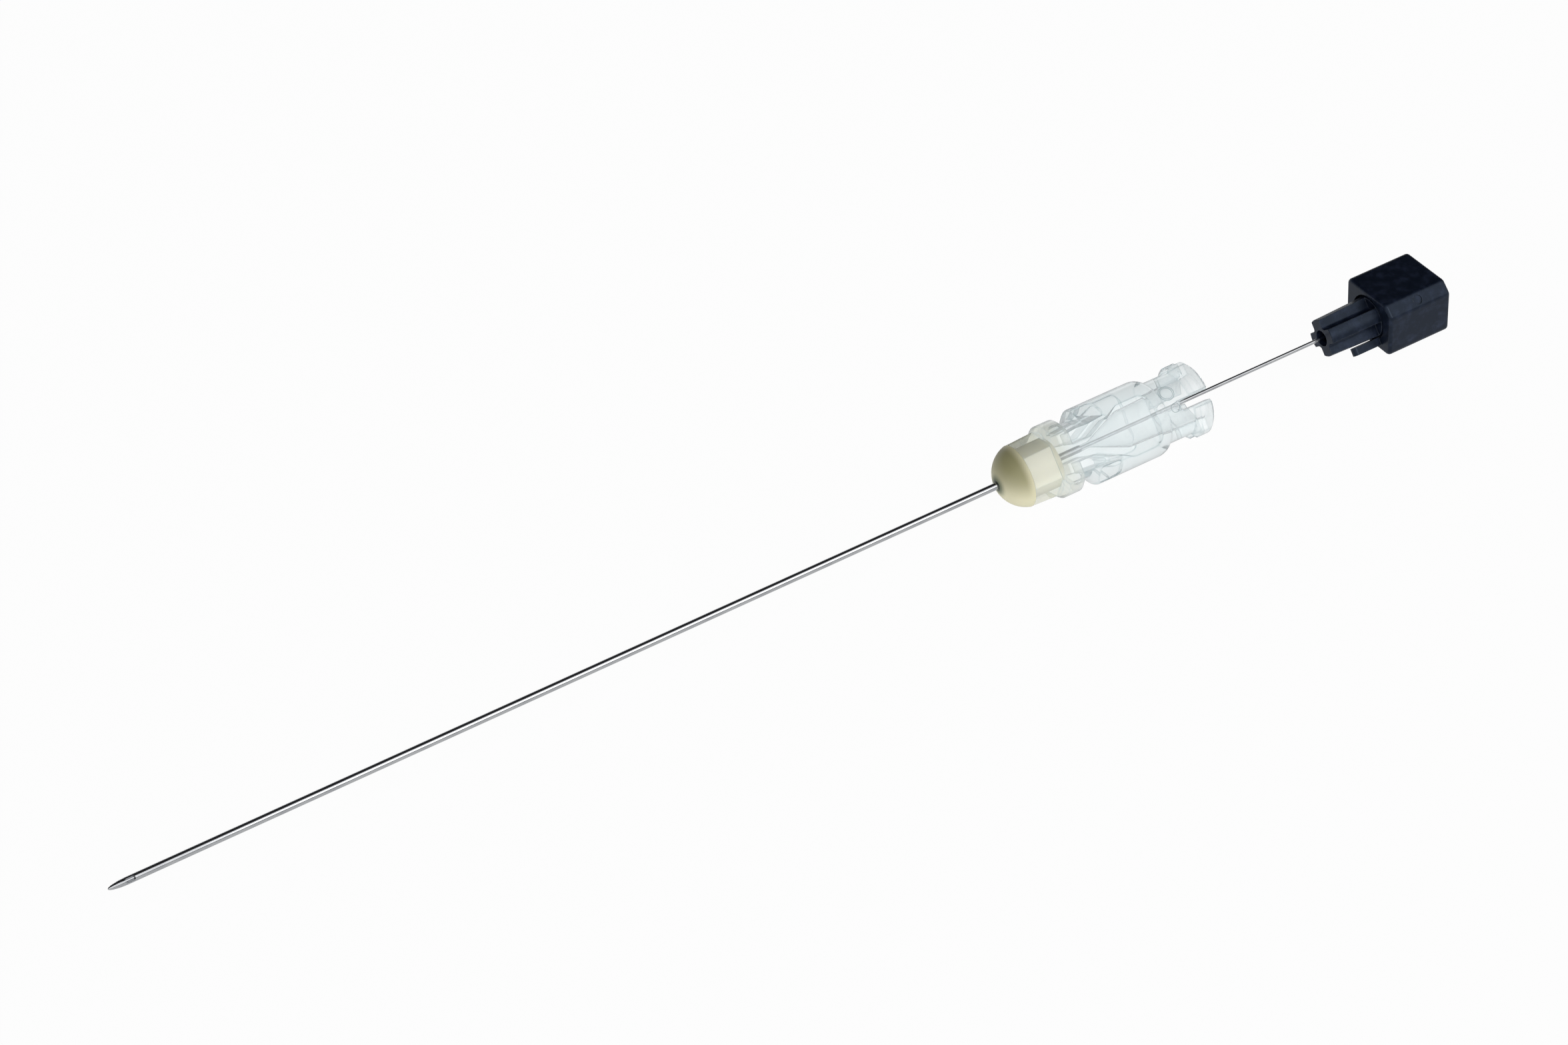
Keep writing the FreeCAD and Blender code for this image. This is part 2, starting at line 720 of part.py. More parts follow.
def build_stylet_cap():
    """The black cap: ribbed shank, oblong head with one cut corner, and the key."""
    body = new_body("stylet_cap")
    half_height = size("head_height") / 2.0
    half_width = size("head_width") / 2.0
    cut = size("head_corner_chamfer")
    corner = size("head_corner_round")
    head = new_sketch(body, "head_outline", "YZ_Plane", head_front)
    turn = FreeCAD.Rotation(FreeCAD.Vector(0, 0, 1), size("head_turn").value)
    head.AttachmentOffset = FreeCAD.Placement(FreeCAD.Vector(0, 0, head_front.value), turn)
    head.setExpression("AttachmentOffset.Rotation.Angle", "sizes.head_turn")
    draw_outline(head, [
        Corner(-half_height, -half_width, corner),
        Corner(half_height, -half_width, corner),
        Corner(half_height, half_width - cut, corner),
        Corner(half_height - cut, half_width, corner),
        Corner(-half_height, half_width, corner),
    ])
    block = pad_out(body, "head", head, size("head_length"))

    def on_end_face(edge):
        box = edge.BoundBox
        return box.XLength < 1e-6

    softened = round_edges(body, "head_edges", block, size("head_edge_round"), on_end_face)
    recess = new_sketch(body, "head_recess_outline", "XY_Plane")
    depth = size("head_recess_depth")
    draw_outline(recess, box_corners(head_front, head_front + depth, ZERO, size("head_recess_radius")))
    turn_away(body, "head_recess", recess)

    build_cap_shank(body)

    key = new_sketch(body, "key_outline", "XZ_Plane", size("key_inner_radius"))
    key_half = size("key_width") / 2.0
    key_front = head_front - size("key_length")
    key_rear = head_front + depth + size("head_edge_round")
    draw_outline(key, [
        Corner(key_front, -key_half, size("key_end_round")),
        Corner(key_rear, -key_half),
        Corner(key_rear, key_half),
        Corner(key_front, key_half, size("key_end_round")),
    ])
    pad_out(body, "key", key, size("key_outer_radius") - size("key_inner_radius"))

    bore = new_sketch(body, "shank_bore_outline", "XY_Plane")
    bore_end = shank_front + size("shank_bore_length")
    draw_outline(bore, [
        Corner(shank_front, ZERO),
        Corner(shank_front, size("shank_bore_radius")),
        Corner(bore_end, size("shank_bore_radius")),
        Corner(bore_end, size("wire_radius")),
        Corner(wire_rear, size("wire_radius")),
        Corner(wire_rear, ZERO),
    ])
    turn_away(body, "shank_bore", bore)

    cut_face = (half_height + half_width - cut) / math.sqrt(2.0)
    cut_middle = (half_height - half_width) / math.sqrt(2.0)
    cut_tilt = size("head_turn") - EVEN_SLOPE
    mark = new_sketch(body, "head_mark_outline", "XY_Plane", cut_face, cut_tilt)
    middle = head_front + size("head_length") / 2.0
    reach = size("head_mark_radius")
    centre = FreeCAD.Vector(middle.value, cut_middle.value, 0)
    circle = Part.Circle(centre, FreeCAD.Vector(0, 0, 1), reach.value)
    index = mark.addGeometry(circle, False)
    pin_down(mark, index, 3, middle, cut_middle)
    radius = mark.addConstraint(Sketcher.Constraint("Radius", index, reach.value))
    mark.setExpression("Constraints[%d]" % radius, reach.formula)
    cut_out(body, "head_mark", mark, reverse=False, depth=size("head_mark_depth"))
    return body


bodies = [
    build_cannula(),
    build_hub(),
    build_nose_insert(),
    build_bond(),
    build_stylet_wire(),
    build_stylet_cap(),
]
doc.recompute()

for item in doc.Objects:
    if "Invalid" in item.State or "Error" in item.State:
        raise RuntimeError(item.Name + " failed")
for body in bodies:
    if body.Shape.isNull() or not body.Shape.isValid() or len(body.Shape.Solids) != 1:
        raise RuntimeError(body.Label + " is not one valid solid")
for body in bodies:
    body.Shape.exportStep("parts/%s.step" % body.Label)
    box = body.Shape.BoundBox
    print("%-12s volume %8.2f  X %8.2f to %8.2f" % (body.Label, body.Shape.Volume, box.XMin, box.XMax))
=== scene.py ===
"""Looks, light and camera for a spinal needle with its stylet drawn part of the way out.

Lengths are in metres and angles in degrees where a field holds them. X runs along the needle
towards the stylet cap, and Z is up as the needle lies.
"""

import logging
import math
from abc import ABC, abstractmethod
from dataclasses import dataclass
from enum import Enum
from typing import Union

import bmesh
import bpy
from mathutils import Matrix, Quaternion, Vector


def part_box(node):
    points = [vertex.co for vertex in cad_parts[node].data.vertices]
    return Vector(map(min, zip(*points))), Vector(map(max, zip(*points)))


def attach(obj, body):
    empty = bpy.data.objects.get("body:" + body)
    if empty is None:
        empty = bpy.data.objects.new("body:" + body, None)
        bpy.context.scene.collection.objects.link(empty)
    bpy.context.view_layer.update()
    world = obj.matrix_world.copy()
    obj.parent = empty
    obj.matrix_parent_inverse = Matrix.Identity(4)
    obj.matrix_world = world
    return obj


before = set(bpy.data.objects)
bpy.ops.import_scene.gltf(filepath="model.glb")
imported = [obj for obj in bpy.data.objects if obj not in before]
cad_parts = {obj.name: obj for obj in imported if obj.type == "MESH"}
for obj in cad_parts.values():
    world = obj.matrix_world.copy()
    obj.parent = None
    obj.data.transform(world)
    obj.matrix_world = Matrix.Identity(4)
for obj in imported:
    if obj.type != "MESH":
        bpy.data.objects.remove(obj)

MM = 0.001
LOG = logging.getLogger("spinal_needle")
Colour = tuple[float, float, float]
Range = tuple[float, float]
Source = Union[bpy.types.NodeSocket, float, tuple]

WHITE: Colour = (1.0, 1.0, 1.0)
PLASTIC_IOR = 1.5
BEVEL_SAMPLES = 4
# Where a colour mix node has its factor, its two colours and its result: its names repeat.
MIX_INPUTS = (0, 6, 7)
MIX_RESULT = 2
# Light Path counts whole bounces, so a count above this is one or more.
ONE_BOUNCE = 0.5
# How far what is mirrored inside clear plastic shows the room in place of the plain white.
MIRRORED_SHARE = 0.8


class Body(Enum):
    """The bodies that move as one."""

    NEEDLE = "needle"
    STYLET = "stylet"


class Slot(Enum):
    """The record's material slots."""

    STEEL = "steel"
    CLEAR_HUB = "clear_hub"
    CREAM_INSERT = "cream_insert"
    BOND_RESIN = "bond_resin"
    WIRE_STEEL = "wire_steel"
    BLACK_CAP = "black_cap"


class NodeSheet:
    """Adds nodes to one node tree and links them in short calls."""

    def __init__(self, tree: bpy.types.NodeTree) -> None:
        """Keeps the tree.

        Args:
            tree: the node tree that the nodes go into.
        """
        self.tree = tree

    def add(
        self,
        kind: str,
        inputs: dict[Union[str, int], Source] | None = None,
        **settings: object,
    ) -> bpy.types.Node:
        """Adds one node.

        Args:
            kind: the node's type name.
            inputs: what each named or numbered input is set to or linked from.
            settings: the node's own properties.

        Returns:
            The new node.
        """
        node = self.tree.nodes.new(kind)
        for name, value in settings.items():
            setattr(node, name, value)
        for name, source in (inputs or {}).items():
            self.feed(node.inputs[name], source)
        return node

    def feed(self, socket: bpy.types.NodeSocket, source: Source) -> None:
        """Links a socket to another one, or sets its value.

        Args:
            socket: the input to fill.
            source: the output it is linked from, or a plain value.
        """
        if isinstance(source, bpy.types.NodeSocket):
            self.tree.links.new(source, socket)
        else:
            socket.default_value = source

    def math(self, operation: str, *values: Source) -> bpy.types.NodeSocket:
        """Adds a math node.

        Args:
            operation: the name of the operation.
            values: its inputs, in order.

        Returns:
            The node's result.
        """
        node = self.add("ShaderNodeMath", dict(enumerate(values)), operation=operation)
        return node.outputs[0]

    def band(
        self,
        value: Source,
        low: float,
        high: float,
        start: float = 0.0,
        end: float = 1.0,
    ) -> bpy.types.NodeSocket:
        """Maps a value from one range to another with soft ends.

        Args:
            value: the value to map.
            low: the value that gives start.
            high: the value that gives end.
            start: the result at low.
            end: the result at high.

        Returns:
            The mapped value.
        """
        inputs = {
            "Value": value,
            "From Min": low,
            "From Max": high,
            "To Min": start,
            "To Max": end,
        }
        node = self.add("ShaderNodeMapRange", inputs, interpolation_type="SMOOTHSTEP")
        return node.outputs["Result"]

    def noise(
        self,
        place: Source,
        scale: Source,
        detail: float = 3.0,
        roughness: float = 0.5,
    ) -> bpy.types.NodeSocket:
        """Adds a noise of a given number of features per metre.

        Args:
            place: the coordinates.
            scale: features per metre.
            detail: the number of finer layers.
            roughness: how strong the finer layers are.

        Returns:
            The noise's value, near 0.5.
        """
        inputs = {"Vector": place, "Scale": scale, "Detail": detail, "Roughness": roughness}
        return self.add("ShaderNodeTexNoise", inputs).outputs["Fac"]

    def blend(self, factor: Source, under: Source, over: Source) -> bpy.types.NodeSocket:
        """Lays one colour over another.

        Args:
            factor: how much of the upper colour shows.
            under: the lower colour.
            over: the upper colour.

        Returns:
            The joined colour.
        """
        node = self.add("ShaderNodeMix", data_type="RGBA")
        for number, source in zip(MIX_INPUTS, (factor, under, over)):
            plain = opaque(source) if isinstance(source, tuple) else source
            self.feed(node.inputs[number], plain)
        return node.outputs[MIX_RESULT]

    def mix_shaders(self, factor: Source, under: Source, over: Source) -> bpy.types.NodeSocket:
        """Mixes two shaders.

        Args:
            factor: how much of the second one shows.
            under: the first shader.
            over: the second shader.

        Returns:
            The mixed shader.
        """
        return self.add("ShaderNodeMixShader", {0: factor, 1: under, 2: over}).outputs[0]

    def parts(self, place: Source) -> bpy.types.NodeOutputs:
        """The X, Y and Z of a place or a direction."""
        return self.add("ShaderNodeSeparateXYZ", {0: place}).outputs

    def object_place(self) -> bpy.types.NodeSocket:
        """The point's place in metres, which moves with its piece."""
        return self.add("ShaderNodeTexCoord").outputs["Object"]


def opaque(colour: tuple) -> tuple:
    """A colour with full alpha."""
    return (*colour[:3], 1.0)


def seen_straight(sheet: NodeSheet) -> bpy.types.NodeSocket:
    """Tells what the eye sees directly or through clear plastic from what only lights the object.

    Args:
        sheet: the nodes of the surroundings.

    Returns:
        1 where it is seen, 0 where it only gives light or a reflection, and between the two where
        it is mirrored inside clear plastic.
    """
    path = sheet.add("ShaderNodeLightPath").outputs
    through = sheet.math("GREATER_THAN", path["Transmission Depth"], ONE_BOUNCE)
    diffused = sheet.math("GREATER_THAN", path["Diffuse Depth"], ONE_BOUNCE)
    mirrored = sheet.math("GREATER_THAN", path["Glossy Depth"], ONE_BOUNCE)
    bounced = sheet.math("MAXIMUM", diffused, sheet.math("MULTIPLY", mirrored, MIRRORED_SHARE))
    passed = sheet.math("SUBTRACT", through, bounced)
    return sheet.math("MAXIMUM", path["Is Camera Ray"], passed)


class Effect(ABC):
    """A shader node group that more than one finish uses, built once."""

    title: str = ""
    inputs: tuple[tuple[str, float], ...] = ()
    outputs: tuple[str, ...] = ()

    @classmethod
    def tree(cls) -> bpy.types.NodeTree:
        """The group's node tree, made at its first use."""
        known = bpy.data.node_groups.get(cls.title)
        if known is not None:
            return known
        tree = bpy.data.node_groups.new(cls.title, "ShaderNodeTree")
        tree.interface.new_socket("Place", in_out="INPUT", socket_type="NodeSocketVector")
        for name, value in cls.inputs:
            socket = tree.interface.new_socket(name, in_out="INPUT", socket_type="NodeSocketFloat")
            socket.default_value = value
        for name in cls.outputs:
            tree.interface.new_socket(name, in_out="OUTPUT", socket_type="NodeSocketFloat")
        sheet = NodeSheet(tree)
        given = tree.nodes.new("NodeGroupInput")
        result = tree.nodes.new("NodeGroupOutput")
        for name, source in cls.work(sheet, given.outputs).items():
            sheet.feed(result.inputs[name], source)
        return tree

    @classmethod
    def place(
        cls, sheet: NodeSheet, place: Source, **values: Source
    ) -> dict[str, bpy.types.NodeSocket]:
        """Puts the group into a material.

        Args:
            sheet: the material's nodes.
            place: the coordinates that the effect follows.
            values: the group's inputs, with underscores for spaces.

        Returns:
            The group's outputs by name.
        """
        node = sheet.add("ShaderNodeGroup", node_tree=cls.tree())
        sheet.feed(node.inputs["Place"], place)
        for name, value in values.items():
            sheet.feed(node.inputs[name.replace("_", " ")], value)
        return {name: node.outputs[name] for name in cls.outputs}

    @classmethod
    @abstractmethod
    def work(cls, sheet: NodeSheet, given: bpy.types.NodeOutputs) -> dict[str, Source]:
        """Builds the effect's nodes.

        Args:
            sheet: the group's nodes.
            given: the group's input sockets.

        Returns:
            What each output is linked from.
        """


class MouldGrain(Effect):
    """The skin of a moulding: fine grain, slow sink marks and an uneven gloss."""

    title = "mould_grain"
    inputs = (("Scale", 6000.0), ("Roughness", 0.4), ("Spread", 0.08))
    outputs = ("Height", "Roughness", "Cloud")
    slow_scale = 0.06
    cloud_scale = 0.15
    fine_share = 0.3
    slow_share = 0.7

    @classmethod
    def work(cls, sheet: NodeSheet, given: bpy.types.NodeOutputs) -> dict[str, Source]:
        """Builds the grain.

        Args:
            sheet: the group's nodes.
            given: place, scale, roughness and its spread.

        Returns:
            The height, the roughness and a slow cloud.
        """
        slow_scale = sheet.math("MULTIPLY", given["Scale"], cls.slow_scale)
        cloud_scale = sheet.math("MULTIPLY", given["Scale"], cls.cloud_scale)
        fine = sheet.noise(given["Place"], given["Scale"], 4.0, 0.6)
        slow = sheet.noise(given["Place"], slow_scale, 2.0)
        cloud = sheet.noise(given["Place"], cloud_scale, 5.0, 0.65)
        fine_part = sheet.math("MULTIPLY", fine, cls.fine_share)
        slow_part = sheet.math("MULTIPLY", slow, cls.slow_share)
        height = sheet.math("ADD", fine_part, slow_part)
        drift = sheet.math("MULTIPLY", sheet.math("SUBTRACT", cloud, 0.5), given["Spread"])
        roughness = sheet.math("ADD", given["Roughness"], sheet.math("MULTIPLY", drift, 2.0))
        return {"Height": height, "Roughness": roughness, "Cloud": cloud}


class EdgeShadingAndRub(Effect):
    """The lines along edges and corners, all along them as painted highlight or painted shade, and
    in patches as handling has rubbed them.
    """

    title = "edge_shading_and_rub"
    inputs = (("Reach", 0.0001), ("Scale", 4000.0))
    outputs = ("Edge", "Rubbed")
    edge_span: Range = (0.005, 0.16)
    patch_span: Range = (0.4, 0.6)

    @classmethod
    def work(cls, sheet: NodeSheet, given: bpy.types.NodeOutputs) -> dict[str, Source]:
        """Builds the masks.

        Args:
            sheet: the group's nodes.
            given: place, how far the lines reach from an edge, and the patches' scale.

        Returns:
            The mask of the edges and the mask of their rubbed patches.
        """
        bevel = sheet.add("ShaderNodeBevel", {"Radius": given["Reach"]}, samples=BEVEL_SAMPLES)
        normals = {0: bevel.outputs[0], 1: sheet.add("ShaderNodeNewGeometry").outputs["Normal"]}
        same = sheet.add("ShaderNodeVectorMath", normals, operation="DOT_PRODUCT")
        turned = sheet.math("SUBTRACT", 1.0, same.outputs["Value"])
        edge = sheet.band(turned, *cls.edge_span)
        patch = sheet.band(sheet.noise(given["Place"], given["Scale"], 4.0, 0.65), *cls.patch_span)
        return {"Edge": edge, "Rubbed": sheet.math("MULTIPLY", edge, patch)}


class DustSpecks(Effect):
    """Sparse specks of dust and lint that lie on a surface."""

    title = "dust_specks"
    inputs = (("Scale", 3000.0), ("Size", 0.1))
    outputs = ("Mask",)
    patch_scale = 0.35
    patch_limit = 0.56
    soft_edge = 0.05

    @classmethod
    def work(cls, sheet: NodeSheet, given: bpy.types.NodeOutputs) -> dict[str, Source]:
        """Builds the specks.

        Args:
            sheet: the group's nodes.
            given: place, cells per metre and the size of a speck in its cell.

        Returns:
            The mask of the specks.
        """
        inputs = {"Vector": given["Place"], "Scale": given["Scale"]}
        cells = sheet.add("ShaderNodeTexVoronoi", inputs)
        near = sheet.math("SUBTRACT", given["Size"], cells.outputs["Distance"])
        patch_scale = sheet.math("MULTIPLY", given["Scale"], cls.patch_scale)
        patches = sheet.noise(given["Place"], patch_scale)
        some = sheet.math("GREATER_THAN", patches, cls.patch_limit)
        return {"Mask": sheet.math("MULTIPLY", sheet.band(near, 0.0, cls.soft_edge), some)}


class DrawLines(Effect):
    """The long fine lines that a die leaves on drawn steel, and faint bands along it."""

    title = "draw_lines"
    inputs = (("Scale", 9000.0), ("Stretch", 0.02), ("Roughness", 0.2), ("Spread", 0.06))
    outputs = ("Height", "Roughness", "Tone")
    band_scale = 0.03

    @classmethod
    def work(cls, sheet: NodeSheet, given: bpy.types.NodeOutputs) -> dict[str, Source]:
        """Builds the lines.

        Args:
            sheet: the group's nodes.
            given: place, lines per metre, their stretch along X, roughness and its spread.

        Returns:
            The height, the roughness and a tone near 0.5.
        """
        parts = sheet.parts(given["Place"])
        along = sheet.math("MULTIPLY", parts["X"], given["Stretch"])
        stretched = {"X": along, "Y": parts["Y"], "Z": parts["Z"]}
        place = sheet.add("ShaderNodeCombineXYZ", stretched).outputs[0]
        lines = sheet.noise(place, given["Scale"], 4.0, 0.6)
        band_scale = sheet.math("MULTIPLY", given["Scale"], cls.band_scale)
        bands = sheet.noise(given["Place"], band_scale)
        drift = sheet.math("MULTIPLY", sheet.math("SUBTRACT", lines, 0.5), given["Spread"])
        roughness = sheet.math("ADD", given["Roughness"], sheet.math("MULTIPLY", drift, 2.0))
        return {"Height": lines, "Roughness": roughness, "Tone": bands}


@dataclass(frozen=True)
class Finish(ABC):
    """A material that is built from nodes once and can dress several pieces."""

    title: str

    def material(self) -> bpy.types.Material:
        """The finish's material, made at its first use."""
        known = bpy.data.materials.get(self.title)
        if known is not None:
            return known
        material = bpy.data.materials.new(self.title)
        material.use_nodes = True
        tree = material.node_tree
        tree.nodes.clear()
        sheet = NodeSheet(tree)
        output = sheet.add("ShaderNodeOutputMaterial")
        sheet.feed(output.inputs["Surface"], self.surface(sheet))
        depth = self.depth(sheet)
        if depth is not None:
            sheet.feed(output.inputs["Volume"], depth)
        return material

    def depth(self, sheet: NodeSheet) -> bpy.types.NodeSocket | None:
        """What the material does to light inside it, which is nothing unless a finish says more."""
        return None

    @abstractmethod
    def surface(self, sheet: NodeSheet) -> bpy.types.NodeSocket:
        """Builds the surface shader.

        Args:
            sheet: the material's nodes.

        Returns:
            The shader's output.
        """

    @staticmethod
    def soft_edges(
        sheet: NodeSheet, radius: float, height: Source, distance: float
    ) -> bpy.types.NodeSocket:
        """A normal with rounded edges and a bump on it.

        Args:
            sheet: the material's nodes.
            radius: the radius of the rounding.
            height: the height of the bump, from 0 to 1.
            distance: how high the bump is at 1.

        Returns:
            The normal.
        """
        rounded = sheet.add("ShaderNodeBevel", {"Radius": radius}, samples=BEVEL_SAMPLES)
        inputs = {
            "Strength": 1.0,
            "Distance": distance,
            "Height": height,
            "Normal": rounded.outputs[0],
        }
        return sheet.add("ShaderNodeBump", inputs).outputs[0]


@dataclass(frozen=True)
class ClearPlastic(Finish):
    """Clear moulded plastic, faintly milky and blue-green, that shows what it holds.

    Its body bends light only a little, so that what lies inside shows in its place, and its gloss
    comes from a coat. Round the insert, the insert's cream is painted on it, paler on the low side
    as painted light. Its edges and the walls that turn away from the eye are painted darker, as
    painted shade.
    """

    tint: Colour = (0.94, 0.962, 0.965)
    cloud: Colour = (0.895, 0.925, 0.93)
    cloud_span: Range = (0.4, 0.7)
    # Painted shade along the edges and on the walls that turn away from the eye.
    rim_shade: Colour = (0.55, 0.64, 0.66)
    # The insert's cream painted on the plastic round the insert, paler on the low side as painted
    # light.
    bonded: Colour = (0.785, 0.78, 0.675)
    bonded_lit_low: Colour = (0.93, 0.925, 0.82)
    bond_end: Range = (-16.6 * MM, -14.6 * MM)
    lit_low_side: Range = (-0.4 * MM, 0.8 * MM)
    depth_tint: Colour = (0.72, 0.88, 0.9)
    density: float = 40.0
    shadow_tint: Colour = (0.95, 0.97, 0.975)
    clarity: float = 0.8
    body_ior: float = 1.07
    roughness: float = 0.04
    gloss_roughness: float = 0.08
    speck_roughness: float = 0.3
    edge_shade_reach: float = 0.3 * MM
    edge_shade_strength: float = 0.8
    grazing_shade: Range = (0.55, 1.0)
    grazing_shade_strength: float = 0.45
    edge_radius: float = 0.12 * MM
    grain_height: float = 0.004 * MM

    def surface(self, sheet: NodeSheet) -> bpy.types.NodeSocket:
        """Builds the clear plastic.

        Args:
            sheet: the material's nodes.

        Returns:
            The shader's output.
        """
        place = sheet.object_place()
        grain = MouldGrain.place(sheet, place, Scale=2600.0, Roughness=self.roughness, Spread=0.04)
        dust = DustSpecks.place(sheet, place, Scale=1500.0, Size=0.05)
        rougher = sheet.math("MULTIPLY", dust["Mask"], self.speck_roughness)
        gloss_normal = self.soft_edges(sheet, self.edge_radius, grain["Height"], self.grain_height)
        shader = sheet.add("ShaderNodeBsdfPrincipled", {
            "Base Color": self.tone(sheet, place, grain["Cloud"]),
            "Roughness": sheet.math("ADD", grain["Roughness"], rougher),
            "Metallic": 0.0,
            "Transmission Weight": self.clarity,
            "IOR": self.body_ior,
            "Coat Weight": 1.0,
            "Coat Roughness": self.gloss_roughness,
            "Coat IOR": PLASTIC_IOR,
            "Coat Normal": gloss_normal,
        })
        through = sheet.add("ShaderNodeBsdfTransparent", {"Color": opaque(self.shadow_tint)})
        shadow = sheet.add("ShaderNodeLightPath").outputs["Is Shadow Ray"]
        return sheet.mix_shaders(shadow, shader.outputs[0], through.outputs[0])

    def tone(self, sheet: NodeSheet, place: Source, cloud: Source) -> bpy.types.NodeSocket:
        """Colours the plastic, with painted shade along its edges and where it turns away from the
        eye.

        Args:
            sheet: the material's nodes.
            place: the coordinates on the piece.
            cloud: the slow cloud of its grain.

        Returns:
            The colour.
        """
        parts = sheet.parts(place)
        tone = sheet.blend(sheet.band(cloud, *self.cloud_span), self.tint, self.cloud)
        # Painted view of the insert: its cream, paler on the low side as painted light.
        cream_painted_in = sheet.blend(sheet.band(parts["Z"], *self.lit_low_side), self.bonded_lit_low, self.bonded)
        tone = sheet.blend(sheet.band(parts["X"], *self.bond_end, 1.0, 0.0), tone, cream_painted_in)
        # Painted shade: the rim colour darkens the edges and, through Layer Weight, the walls seen
        # edge-on.
        edges = EdgeShadingAndRub.place(sheet, place, Reach=self.edge_shade_reach, Scale=3000.0)
        facing = sheet.add("ShaderNodeLayerWeight", {"Blend": 0.5}).outputs["Facing"]
        grazing_shade = sheet.band(facing, *self.grazing_shade, 0.0, self.grazing_shade_strength)
        rim_shade_mask = sheet.math("MAXIMUM", edges["Edge"], grazing_shade)
        return sheet.blend(sheet.math("MULTIPLY", rim_shade_mask, self.edge_shade_strength), tone, self.rim_shade)

    def depth(self, sheet: NodeSheet) -> bpy.types.NodeSocket | None:
        """The blue-green that thick plastic takes on."""
        settings = {"Color": opaque(self.depth_tint), "Density": self.density}
        return sheet.add("ShaderNodeVolumeAbsorption", settings).outputs[0]


@dataclass(frozen=True)
class CreamPlastic(Finish):
    """Smooth cream plastic with a little depth, with a greener, darker painted shade where the tube
    leaves it.
    """

    cream: Colour = (0.86, 0.82, 0.58)
    olive: Colour = (0.74, 0.71, 0.46)
    core: Colour = (0.83, 0.82, 0.74)
    # Painted light: the core's low side is paler.
    core_lit_low: Colour = (0.96, 0.95, 0.86)
    # Painted shade on the dome's crown.
    shade: Colour = (0.36, 0.34, 0.17)
    # Painted shade round the place where the tube leaves the dome.
    ring: Colour = (0.1, 0.14, 0.08)
    speck: Colour = (0.35, 0.33, 0.25)
    speck_strength: float = 0.25
    cloud_span: Range = (0.3, 0.75)
    cloud_strength: float = 0.35
    exit_x: float = -22.6 * MM
    exit_shade_reach: Range = (0.5 * MM, 1.35 * MM)
    exit_shade_length: Range = (0.2 * MM, 0.9 * MM)
    exit_shade_strength: float = 0.85
    dome_end: Range = (1.6 * MM, 2.5 * MM)
    core_start: Range = (2.3 * MM, 2.5 * MM)
    crown_shade: Range = (-0.6 * MM, 2.6 * MM)
    crown_shade_lean: float = 0.3
    shade_strength: float = 0.9
    lit_low_side: Range = (-0.4 * MM, 0.8 * MM)
    ior: float = 1.47
    soft_share: float = 0.25
    soft_reach: Colour = (1.0, 0.9, 0.6)
    soft_depth: float = 0.6 * MM
    edge_radius: float = 0.06 * MM
    grain_height: float = 0.006 * MM

    def surface(self, sheet: NodeSheet) -> bpy.types.NodeSocket:
        """Builds the cream plastic.

        Args:
            sheet: the material's nodes.

        Returns:
            The shader's output.
        """
        place = sheet.object_place()
        grain = MouldGrain.place(sheet, place, Scale=2400.0, Roughness=0.36, Spread=0.06)
        dust = DustSpecks.place(sheet, place, Scale=1800.0, Size=0.05)
        tone = self.tone(sheet, place, grain["Cloud"])
        specks = sheet.math("MULTIPLY", dust["Mask"], self.speck_strength)
        tone = sheet.blend(specks, tone, self.speck)
        shader = sheet.add("ShaderNodeBsdfPrincipled", {
            "Base Color": tone,
            "Roughness": grain["Roughness"],
            "IOR": self.ior,
            "Subsurface Weight": self.soft_share,
            "Subsurface Radius": self.soft_reach,
            "Subsurface Scale": self.soft_depth,
            "Normal": self.soft_edges(sheet, self.edge_radius, grain["Height"], self.grain_height),
        })
        return shader.outputs[0]

    def tone(self, sheet: NodeSheet, place: Source, cloud: Source) -> bpy.types.NodeSocket:
        """Colours the plastic, with painted shade on the dome's crown and in a ring round the tube,
        and the core inside the sleeve paler on its low side as painted light.

        Args:
            sheet: the material's nodes.
            place: the coordinates on the piece.
            cloud: the slow cloud of its grain.

        Returns:
            The colour.
        """
        parts = sheet.parts(place)
        greener = sheet.band(cloud, *self.cloud_span, 0.0, self.cloud_strength)
        tone = sheet.blend(greener, self.cream, self.olive)
        # Painted light: the core is paler on its low side.
        core = sheet.blend(sheet.band(parts["Z"], *self.lit_low_side), self.core_lit_low, self.core)
        inside = self.behind_exit(sheet, parts["X"], self.core_start, 0.0, 1.0)
        tone = sheet.blend(inside, tone, core)
        # Painted shade: the dome is darker towards its top, fading out behind the dome.
        lean = sheet.math("MULTIPLY", parts["Y"], self.crown_shade_lean)
        crown_shade = sheet.band(sheet.math("SUBTRACT", parts["Z"], lean), *self.crown_shade)
        dome = self.behind_exit(sheet, parts["X"], self.dome_end, self.shade_strength, 0.0)
        tone = sheet.blend(sheet.math("MULTIPLY", crown_shade, dome), tone, self.shade)
        # Painted shade: a dark green ring round the tube where it leaves the dome.
        squares = [sheet.math("POWER", parts[name], 2.0) for name in "YZ"]
        reach = sheet.math("SQRT", sheet.math("ADD", *squares))
        near = sheet.band(reach, *self.exit_shade_reach, self.exit_shade_strength, 0.0)
        front = self.behind_exit(sheet, parts["X"], self.exit_shade_length, 1.0, 0.0)
        return sheet.blend(sheet.math("MULTIPLY", near, front), tone, self.ring)

    def behind_exit(
        self, sheet: NodeSheet, along: Source, span: Range, start: float, end: float
    ) -> bpy.types.NodeSocket:
        """Maps how far a point lies behind the place where the tube leaves the dome.

        Args:
            sheet: the material's nodes.
            along: the point's X.
            span: the distances that give start and end.
            start: the first result.
            end: the last result.

        Returns:
            The mapped value.
        """
        return sheet.band(along, self.exit_x + span[0], self.exit_x + span[1], start, end)


